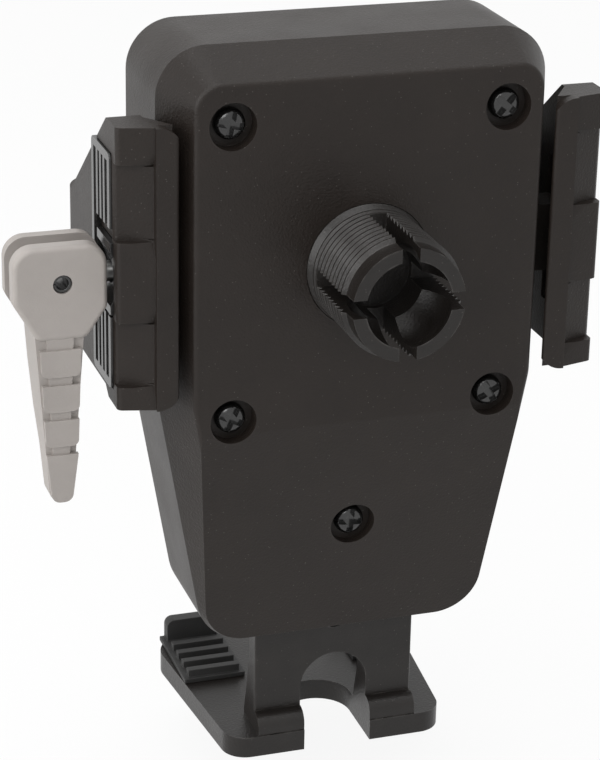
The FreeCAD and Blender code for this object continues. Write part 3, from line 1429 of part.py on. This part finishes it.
ball_socket()
socket_screws()
back_cover()
front_shell()
cover_screws()
brass_inserts()
phone_rest()
guide_frame()
guide_cap()
guide_screws()
pinion_axle()
pinion()
return_spring()
for side_name, side_sign in (("left", -1), ("right", 1)):
    rack_arm(side_name, side_sign)
    jaw(side_name, side_sign)
    grip(side_name, side_sign)
    cheek(side_name, side_sign)
    jaw_screws(side_name, side_sign)
cam_saddle()
cam_lever()
lever_pin()
lock_rod()
lock_cone()
brake_shoe()
foot()
foot_pads()
foot_keeper()
keeper_screws()
foot_leaf_springs()
doc.recompute()

for item in doc.Objects:
    if "Invalid" in item.State or "Error" in item.State:
        raise RuntimeError(f"{item.Label} did not build: {item.State}")
for node in NODES:
    if node.Shape.isNull() or not node.Shape.isValid() or not node.Shape.Solids:
        raise RuntimeError(f"{node.Label} has no valid solid")

os.makedirs("parts", exist_ok=True)
for node in NODES:
    node.Shape.exportStep(f"parts/{node.Label}.step")
    box = node.Shape.BoundBox
    print(f"{node.Label}: {len(node.Shape.Solids)} solids, {node.Shape.Volume:.1f} mm3, "
          f"x {box.XMin:.1f}..{box.XMax:.1f} y {box.YMin:.1f}..{box.YMax:.1f} z {box.ZMin:.1f}..{box.ZMax:.1f}")
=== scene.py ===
# %% [markdown]
# # A clamping phone cradle, dressed for its portrait
#
# The part arrives as a set of exact solids: a drafted back cover, two hooked jaws, a split
# socket with a thread, a cam lever and a sliding foot. Everything that moves has its place
# already. This notebook sets up a small studio, rounds the edges of each piece that shows, and
# gives every piece the surface that it really has.

# %% Load the frame
import json
import math

import bpy
from mathutils import Matrix, Vector


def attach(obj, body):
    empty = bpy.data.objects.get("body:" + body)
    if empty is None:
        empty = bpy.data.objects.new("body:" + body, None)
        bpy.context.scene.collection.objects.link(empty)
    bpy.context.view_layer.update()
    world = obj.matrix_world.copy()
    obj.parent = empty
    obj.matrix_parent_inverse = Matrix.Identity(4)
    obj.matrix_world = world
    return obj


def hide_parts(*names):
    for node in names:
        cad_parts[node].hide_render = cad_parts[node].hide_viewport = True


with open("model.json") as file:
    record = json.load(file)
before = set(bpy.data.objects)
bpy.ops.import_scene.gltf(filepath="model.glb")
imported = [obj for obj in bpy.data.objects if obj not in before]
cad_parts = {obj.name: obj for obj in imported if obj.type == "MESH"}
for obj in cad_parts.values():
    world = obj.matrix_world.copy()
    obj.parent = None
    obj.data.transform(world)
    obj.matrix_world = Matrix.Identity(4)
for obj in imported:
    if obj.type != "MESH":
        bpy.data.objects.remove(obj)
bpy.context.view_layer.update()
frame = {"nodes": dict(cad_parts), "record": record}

nodes = frame["nodes"]
MM = 0.001

# %% [markdown]
# ## The camera
#
# A product shot is taken with a long lens, so that near and far parts keep their sizes. The
# camera could be placed by eye, but angles round a point that it aims at are easier to read
# and to change: how far round, how high, how far off, and a slight roll of the tripod.

# %% Camera
AIM = Vector((-11.67, 15.0, -19.2)) * MM
AROUND, ABOVE, ROLL = math.radians(-18.48), math.radians(22.15), math.radians(1.14)
DISTANCE = 426.19 * MM
SENSOR, LENS = 36, 120.6  # both in millimetres, as camera makers give them
NEAREST = 0.01

backward = Vector((math.sin(AROUND) * math.cos(ABOVE), -math.cos(AROUND) * math.cos(ABOVE), math.sin(ABOVE)))
right = (-backward).cross(Vector((0, 0, 1))).normalized()
upward = right.cross(-backward)
across = right * math.cos(ROLL) + upward * math.sin(ROLL)
up = upward * math.cos(ROLL) - right * math.sin(ROLL)

bpy.ops.object.select_all(action="DESELECT")
bpy.ops.object.camera_add(location=AIM + backward * DISTANCE)
camera = bpy.context.object
camera.name = "portrait_camera"
camera.rotation_mode = "QUATERNION"
camera.rotation_quaternion = Matrix((across, up, backward)).transposed().to_quaternion()
camera.data.sensor_width = SENSOR
camera.data.lens = LENS
camera.data.clip_start = NEAREST
bpy.context.scene.camera = camera
bpy.context.scene.view_settings.view_transform = "Standard"
print("camera at", [round(v, 4) for v in camera.location])

# %% [markdown]
# ## Floor, backdrop and lights
#
# The floor is one large pale sheet. Turning the lamps up until it went white would also bleach
# the part, so a Light Path node does it instead: camera, glossy and transmission rays see mostly
# plain white, mixed with the ordinary surface so that the part still throws a soft shadow.
# The world does the same for those rays, and for the others it is white behind the part and dim
# in front of it, which gives a dark moulding its modelling. Three soft lamps, at the left, above
# and in front, draw the highlights on its bevels.

# %% Floor
FLOOR = -0.1085
FLOOR_SIZE, FLOOR_SHIFT = 6, 0.6
FLOOR_WHITE = 0.80
PLAIN_SHARE = 0.90  # how much of the floor is plain white to the rays that see it


def nothing_selected():
    """Start the next step with an empty selection."""
    if bpy.context.object and bpy.context.object.mode != "OBJECT":
        bpy.ops.object.mode_set(mode="OBJECT")
    bpy.ops.object.select_all(action="DESELECT")


def pick(thing):
    """Make one object the selected and active one."""
    nothing_selected()
    thing.select_set(True)
    bpy.context.view_layer.objects.active = thing


def maths(tree, operation, second=None):
    """A Math node, with its second number filled in where that is fixed."""
    made = tree.nodes.new("ShaderNodeMath")
    made.operation = operation
    if second is not None:
        made.inputs[1].default_value = second
    return made


def rays_that_see(tree):
    """An output that is 1 for camera, glossy and transmission rays and 0 for the rest."""
    path = tree.nodes.new("ShaderNodeLightPath")
    mirrored, seen = maths(tree, "MAXIMUM"), maths(tree, "MAXIMUM")
    tree.links.new(path.outputs["Is Glossy Ray"], mirrored.inputs[0])
    tree.links.new(path.outputs["Is Transmission Ray"], mirrored.inputs[1])
    tree.links.new(path.outputs["Is Camera Ray"], seen.inputs[0])
    tree.links.new(mirrored.outputs[0], seen.inputs[1])
    return seen.outputs[0]


nothing_selected()
bpy.ops.mesh.primitive_plane_add(size=FLOOR_SIZE, location=(0, FLOOR_SHIFT, FLOOR))
floor = bpy.context.object
floor.name = "floor"

paper = bpy.data.materials.new("pale_paper")
paper.use_nodes = True
tree = paper.node_tree
surface = tree.nodes["Principled BSDF"]
surface.inputs["Base Color"].default_value = (FLOOR_WHITE, FLOOR_WHITE, FLOOR_WHITE, 1)
surface.inputs["Roughness"].default_value = 0.9
glow = tree.nodes.new("ShaderNodeEmission")
glow.inputs["Color"].default_value = (1, 1, 1, 1)
glow.inputs["Strength"].default_value = 1.0
blend = tree.nodes.new("ShaderNodeMixShader")
share = maths(tree, "MULTIPLY", PLAIN_SHARE)
tree.links.new(rays_that_see(tree), share.inputs[0])
tree.links.new(share.outputs[0], blend.inputs[0])
tree.links.new(surface.outputs[0], blend.inputs[1])
tree.links.new(glow.outputs[0], blend.inputs[2])
tree.links.new(blend.outputs[0], tree.nodes["Material Output"].inputs["Surface"])
floor.data.materials.append(paper)

# %% Lights
DIM, WHITE = 0.16, 1.0
DIM_FROM, WHITE_FROM = -0.35, 0.55  # how far a ray points forward, from -1 to 1

world = bpy.data.worlds.new("studio")
bpy.context.scene.world = world
world.use_nodes = True
sky_tree = world.node_tree
sky = sky_tree.nodes["Background"]
sky.inputs["Color"].default_value = (1, 1, 1, 1)
direction = sky_tree.nodes.new("ShaderNodeTexCoord")
parts = sky_tree.nodes.new("ShaderNodeSeparateXYZ")
behind = sky_tree.nodes.new("ShaderNodeMapRange")
behind.interpolation_type = "SMOOTHSTEP"
behind.inputs["From Min"].default_value = DIM_FROM
behind.inputs["From Max"].default_value = WHITE_FROM
behind.inputs["To Min"].default_value = DIM
behind.inputs["To Max"].default_value = WHITE
sky_tree.links.new(direction.outputs["Generated"], parts.inputs[0])
sky_tree.links.new(parts.outputs["Y"], behind.inputs["Value"])
level = sky_tree.nodes.new("ShaderNodeMix")
level.inputs["B"].default_value = WHITE
sky_tree.links.new(rays_that_see(sky_tree), level.inputs["Factor"])
sky_tree.links.new(behind.outputs[0], level.inputs["A"])
sky_tree.links.new(level.outputs["Result"], sky.inputs["Strength"])


def softbox(name, place, size, power):
    """A square area lamp that faces the part."""
    nothing_selected()
    bpy.ops.object.light_add(type="AREA", location=place)
    lamp = bpy.context.object
    lamp.name = name
    lamp.data.shape = "RECTANGLE"
    lamp.data.size, lamp.data.size_y = size
    lamp.data.energy = power
    aim = AIM - Vector(place)
    lamp.rotation_mode = "QUATERNION"
    lamp.rotation_quaternion = aim.to_track_quat("-Z", "Y")
    return lamp


softbox("left_softbox", (-0.95, -0.30, 0.30), (0.7, 0.9), 6.3)
softbox("top_softbox", (-0.10, -0.10, 1.0), (0.9, 0.8), 5.6)
softbox("front_softbox", (-0.45, -0.85, 0.70), (0.6, 0.5), 4.0)

# %% [markdown]
# ## What the surfaces have in common
#
# Moulded plastic copies the steel it was cast against, and that steel is usually eaten to a fine
# grain by sparks. Three effects turn up on nearly every piece here, so each is a node group with
# named inputs, built once: the grain itself, the pale polish that hands and boxes leave along
# edges, and the faint unevenness of colour in black plastic.

# %% Node groups
DUST = (0.16, 0.15, 0.14)


def new_group(name, inputs, outputs):
    """An empty shader group with named value or colour sockets."""
    group = bpy.data.node_groups.new(name, "ShaderNodeTree")
    for label, kind, value in inputs:
        made = group.interface.new_socket(label, in_out="INPUT", socket_type=kind)
        if value is not None:
            made.default_value = value
    for label, kind in outputs:
        group.interface.new_socket(label, in_out="OUTPUT", socket_type=kind)
    return group, group.nodes.new("NodeGroupInput"), group.nodes.new("NodeGroupOutput")


def noise(tree, detail, rough=None, scale=None):
    """A noise texture with its fixed numbers filled in."""
    made = tree.nodes.new("ShaderNodeTexNoise")
    made.inputs["Detail"].default_value = detail
    if rough is not None:
        made.inputs["Roughness"].default_value = rough
    if scale is not None:
        made.inputs["Scale"].default_value = scale
    return made


def ramp(tree, none_at, full_at):
    """A Map Range node that turns one value into 0 and the other into 1."""
    made = tree.nodes.new("ShaderNodeMapRange")
    made.inputs["From Min"].default_value = none_at
    made.inputs["From Max"].default_value = full_at
    return made


def colours_mixed(tree, second=None):
    """A colour Mix node, with its second colour filled in where that is fixed."""
    made = tree.nodes.new("ShaderNodeMix")
    made.data_type = "RGBA"
    if second is not None:
        made.inputs["B"].default_value = (*second, 1)
    return made


def spark_grain_group():
    """Height and roughness of a spark-eroded mould."""
    group, given, result = new_group(
        "spark grain",
        [("Vector", "NodeSocketVector", None), ("Grain", "NodeSocketFloat", 3200.0),
         ("Roughness", "NodeSocketFloat", 0.5), ("Spread", "NodeSocketFloat", 0.12)],
        [("Height", "NodeSocketFloat"), ("Roughness", "NodeSocketFloat")])
    fine = noise(group, detail=3, rough=0.6)
    pits = group.nodes.new("ShaderNodeTexVoronoi")
    pits.feature = "SMOOTH_F1"
    mix = maths(group, "MULTIPLY_ADD", 0.6)
    broad = noise(group, detail=4, scale=110)
    swing = maths(group, "SUBTRACT", 0.5)
    final = maths(group, "MULTIPLY_ADD")
    links = group.links
    for texture in (fine, pits, broad):
        links.new(given.outputs["Vector"], texture.inputs["Vector"])
    for texture in (fine, pits):
        links.new(given.outputs["Grain"], texture.inputs["Scale"])
    links.new(pits.outputs["Distance"], mix.inputs[0])
    links.new(fine.outputs["Fac"], mix.inputs[2])
    links.new(mix.outputs[0], result.inputs["Height"])
    links.new(broad.outputs["Fac"], swing.inputs[0])
    links.new(swing.outputs[0], final.inputs[0])
    links.new(given.outputs["Spread"], final.inputs[1])
    links.new(given.outputs["Roughness"], final.inputs[2])
    links.new(final.outputs[0], result.inputs["Roughness"])
    return group


def edge_wear_group():
    """A mask that is white along convex edges, broken up by noise."""
    group, given, result = new_group(
        "edge wear",
        [("Vector", "NodeSocketVector", None), ("Width", "NodeSocketFloat", 0.0004),
         ("Amount", "NodeSocketFloat", 0.5)],
        [("Mask", "NodeSocketFloat")])
    bevel = group.nodes.new("ShaderNodeBevel")
    bevel.samples = 4
    true_face = group.nodes.new("ShaderNodeNewGeometry")
    dot = group.nodes.new("ShaderNodeVectorMath")
    dot.operation = "DOT_PRODUCT"
    turned = ramp(group, 0.995, 0.86)  # the cosine between the rounded normal and the true one
    patches = noise(group, detail=5, scale=420)
    broken = ramp(group, 0.42, 0.66)
    both = maths(group, "MULTIPLY")
    scaled = maths(group, "MULTIPLY")
    links = group.links
    links.new(given.outputs["Width"], bevel.inputs["Radius"])
    links.new(bevel.outputs["Normal"], dot.inputs[0])
    links.new(true_face.outputs["Normal"], dot.inputs[1])
    links.new(dot.outputs["Value"], turned.inputs["Value"])
    links.new(given.outputs["Vector"], patches.inputs["Vector"])
    links.new(patches.outputs["Fac"], broken.inputs["Value"])
    links.new(turned.outputs[0], both.inputs[0])
    links.new(broken.outputs[0], both.inputs[1])
    links.new(both.outputs[0], scaled.inputs[0])
    links.new(given.outputs["Amount"], scaled.inputs[1])
    links.new(scaled.outputs[0], result.inputs["Mask"])
    return group


def mottle_group():
    """A slow drift between two near colours, with a few dust specks."""
    group, given, result = new_group(
        "mottle",
        [("Vector", "NodeSocketVector", None), ("Dark", "NodeSocketColor", (0.02, 0.02, 0.02, 1)),
         ("Light", "NodeSocketColor", (0.04, 0.04, 0.04, 1)), ("Scale", "NodeSocketFloat", 60.0),
         ("Speck", "NodeSocketFloat", 0.15)],
        [("Color", "NodeSocketColor")])
    slow = noise(group, detail=6, rough=0.65)
    wide = ramp(group, 0.3, 0.7)
    colour = colours_mixed(group)
    specks = group.nodes.new("ShaderNodeTexVoronoi")
    specks.inputs["Scale"].default_value = 900
    tiny = ramp(group, 0.10, 0.04)
    amount = maths(group, "MULTIPLY")
    dusted = colours_mixed(group, DUST)
    links = group.links
    for texture in (slow, specks):
        links.new(given.outputs["Vector"], texture.inputs["Vector"])
    links.new(given.outputs["Scale"], slow.inputs["Scale"])
    links.new(slow.outputs["Fac"], wide.inputs["Value"])
    links.new(wide.outputs[0], colour.inputs["Factor"])
    links.new(given.outputs["Dark"], colour.inputs["A"])
    links.new(given.outputs["Light"], colour.inputs["B"])
    links.new(specks.outputs["Distance"], tiny.inputs["Value"])
    links.new(tiny.outputs[0], amount.inputs[0])
    links.new(given.outputs["Speck"], amount.inputs[1])
    links.new(amount.outputs[0], dusted.inputs["Factor"])
    links.new(colour.outputs["Result"], dusted.inputs["A"])
    links.new(dusted.outputs["Result"], result.inputs["Color"])
    return group


SPARK_GRAIN, EDGE_WEAR, MOTTLE = spark_grain_group(), edge_wear_group(), mottle_group()
print("groups:", SPARK_GRAIN.name, EDGE_WEAR.name, MOTTLE.name)

# %% [markdown]
# ## Materials
#
# Every finish is a Principled shader fed by those groups. What is the same all over a surface,
# such as its specular level, is set on the shader; what changes over it comes from the groups.
# One function joins them, and each material is then a short list of its own values.

# %% Materials
GRAIN_DEPTH = 0.1 * MM
WORN_POLISH = -0.15  # what full wear adds to the roughness


def grouped(tree, group, **given):
    """One of the shared groups, with its inputs filled in by name."""
    made = tree.nodes.new("ShaderNodeGroup")
    made.node_tree = group
    for label, value in given.items():
        made.inputs[label].default_value = value
    return made


def moulded(name, dark, light, rough, worn, spread=0.12, grain=3200.0, bump=0.12, wear=0.5,
            width=0.0004, scale=60.0, speck=0.12, metallic=0.0, specular=0.5):
    """A material from grain, mottle and edge wear."""
    made = bpy.data.materials.new(name)
    made.use_nodes = True
    tree = made.node_tree
    shader = tree.nodes["Principled BSDF"]
    shader.inputs["Metallic"].default_value = metallic
    shader.inputs["Specular IOR Level"].default_value = specular
    where = tree.nodes.new("ShaderNodeTexCoord")
    grains = grouped(tree, SPARK_GRAIN, Grain=grain, Roughness=rough, Spread=spread)
    worn_mask = grouped(tree, EDGE_WEAR, Width=width, Amount=wear)
    tint = grouped(tree, MOTTLE, Dark=(*dark, 1), Light=(*light, 1), Scale=scale, Speck=speck)
    edge = colours_mixed(tree, worn)
    dent = tree.nodes.new("ShaderNodeBump")
    dent.inputs["Strength"].default_value = bump
    dent.inputs["Distance"].default_value = GRAIN_DEPTH
    polish = maths(tree, "MULTIPLY_ADD", WORN_POLISH)
    links = tree.links
    for group in (grains, worn_mask, tint):
        links.new(where.outputs["Object"], group.inputs["Vector"])
    links.new(tint.outputs["Color"], edge.inputs["A"])
    links.new(worn_mask.outputs["Mask"], edge.inputs["Factor"])
    links.new(edge.outputs["Result"], shader.inputs["Base Color"])
    links.new(worn_mask.outputs["Mask"], polish.inputs[0])
    links.new(grains.outputs["Roughness"], polish.inputs[2])
    links.new(polish.outputs[0], shader.inputs["Roughness"])
    links.new(grains.outputs["Height"], dent.inputs["Height"])
    links.new(dent.outputs["Normal"], shader.inputs["Normal"])
    return made


SHELL = moulded("body plastic", (0.0125, 0.0092, 0.0075), (0.0175, 0.0132, 0.0108), 0.44,
                worn=(0.065, 0.058, 0.053), grain=2600, bump=0.65, wear=0.25, speck=0.5, specular=0.27)
NYLON = moulded("filled nylon", (0.0080, 0.0064, 0.0055), (0.0135, 0.0112, 0.0098), 0.34,
                worn=(0.10, 0.094, 0.088), grain=2400, bump=0.5, wear=0.6, scale=160, speck=0.4,
                specular=0.36)
GLOSS = moulded("polished black", (0.010, 0.010, 0.010), (0.016, 0.0155, 0.015), 0.20,
                worn=(0.12, 0.115, 0.11), spread=0.08, bump=0.03, wear=0.3, speck=0.05)
LEVER = moulded("grey lever plastic", (0.31, 0.285, 0.265), (0.36, 0.33, 0.31), 0.48,
                worn=(0.50, 0.47, 0.45), bump=0.16, wear=0.35, speck=0.0)
RUBBER = moulded("rubber", (0.012, 0.0118, 0.0115), (0.020, 0.0195, 0.019), 0.62,
                 worn=(0.06, 0.058, 0.056), grain=2600, bump=0.2, wear=0.25, speck=0.25)
BLACK_STEEL = moulded("blackened steel", (0.006, 0.006, 0.006), (0.010, 0.0098, 0.0095), 0.17,
                      worn=(0.22, 0.215, 0.21), spread=0.06, bump=0.04, wear=0.35, width=0.00012,
                      scale=240, speck=0.0, specular=0.7)
STEEL = moulded("plated steel", (0.50, 0.50, 0.49), (0.62, 0.62, 0.61), 0.30,
                worn=(0.75, 0.75, 0.74), bump=0.06, wear=0.2, metallic=1.0, speck=0.0)
BRASS = moulded("turned brass", (0.62, 0.44, 0.18), (0.72, 0.53, 0.24), 0.30,
                worn=(0.85, 0.68, 0.36), bump=0.08, wear=0.3, metallic=1.0, speck=0.0)
ACETAL = moulded("white acetal", (0.66, 0.65, 0.61), (0.74, 0.73, 0.69), 0.38,
                 worn=(0.8, 0.8, 0.78), bump=0.05, wear=0.1, speck=0.0)
FINISH = {
    "black_shell": SHELL, "black_nylon": NYLON, "black_gloss": GLOSS, "grey_lever": LEVER, "rubber": RUBBER,
    "black_steel": BLACK_STEEL, "steel": STEEL, "brass": BRASS, "white_acetal": ACETAL,
}
slot_of = {part["node"]: part["material_slot"] for part in frame["record"]["subparts"]}
body_of = {node: body for body, members in frame["record"]["behaviour"]["bodies"].items() for node in members}
print("finishes:", len(FINISH), "for", len(slot_of), "nodes")

# %% [markdown]
# ## From solids to mouldings
#
# A solid from CAD has knife-sharp edges and comes in as loose triangles, which catch the light
# as facets. Real mouldings have small radii everywhere. Painting the edges by a shader would be
# quick, but real rounding holds up close by: each visible node is copied, its doubles are merged
# and its flat faces joined again, a Bevel modifier rounds the edges, and normals weighted by face
# area keep the flats flat.

# %% Rounded copies
SAME_POINT = 1e-6
FLAT, SHARP, SMOOTH = math.radians(1), math.radians(28), math.radians(38)
STEPS = 2  # how many faces a rounded edge is made of


def faces_joined(piece):
    """Merge the doubles of a copied solid and turn its triangles back into flat faces."""
    pick(piece)
    bpy.ops.object.mode_set(mode="EDIT")
    bpy.ops.mesh.select_all(action="SELECT")
    bpy.ops.mesh.remove_doubles(threshold=SAME_POINT)
    bpy.ops.mesh.dissolve_limited(angle_limit=FLAT)
    bpy.ops.object.mode_set(mode="OBJECT")


def rounded(piece, width):
    """Round the edges of a mesh and shade it smooth between its edges."""
    pick(piece)
    edge = piece.modifiers.new("edge", "BEVEL")
    edge.limit_method = "ANGLE"
    edge.angle_limit = SHARP
    edge.width = width
    edge.segments = STEPS
    edge.use_clamp_overlap = True
    bpy.ops.object.modifier_apply(modifier=edge.name)
    bpy.ops.object.shade_smooth_by_angle(angle=SMOOTH)
    weigh = piece.modifiers.new("weigh", "WEIGHTED_NORMAL")
    weigh.keep_sharp = True
    bpy.ops.object.modifier_apply(modifier=weigh.name)


def dressed(node, width):
    """Stand a rounded copy in for a CAD node."""
    piece = bpy.data.objects.new(f"{node}_moulding", nodes[node].data.copy())
    bpy.context.scene.collection.objects.link(piece)
    faces_joined(piece)
    rounded(piece, width)
    piece.data.materials.clear()
    piece.data.materials.append(FINISH[slot_of[node]])
    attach(piece, body_of[node])
    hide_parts(node)
    print(node, "faces:", len(piece.data.polygons))


# widths of the rounded edges in millimetres, from the jaws that hands pull on to threads and pins
for width, names in (
    (0.9, ("left_jaw", "right_jaw")),
    (0.4, ("foot",)),
    (0.3, ("back_cover", "front_shell", "cam_lever", "foot_pads", "cam_saddle")),
    (0.2, ("left_cheek", "right_cheek", "phone_rest", "left_grip", "right_grip", "left_arm",
           "right_arm")),
    (0.1, ("ball_socket", "lever_pin", "cover_screws", "lock_rod")),
):
    for name in names:
        dressed(name, width * MM)

# %% [markdown]
# ## The parts inside
#
# Inserts, spring, pinion and tray are hidden inside, and their CAD shapes are exact, so they
# keep their own meshes and only take a finish.

# %% Finishes for the inner nodes
for name, node in nodes.items():
    node.data.materials.clear()
    node.data.materials.append(FINISH[slot_of[name]])
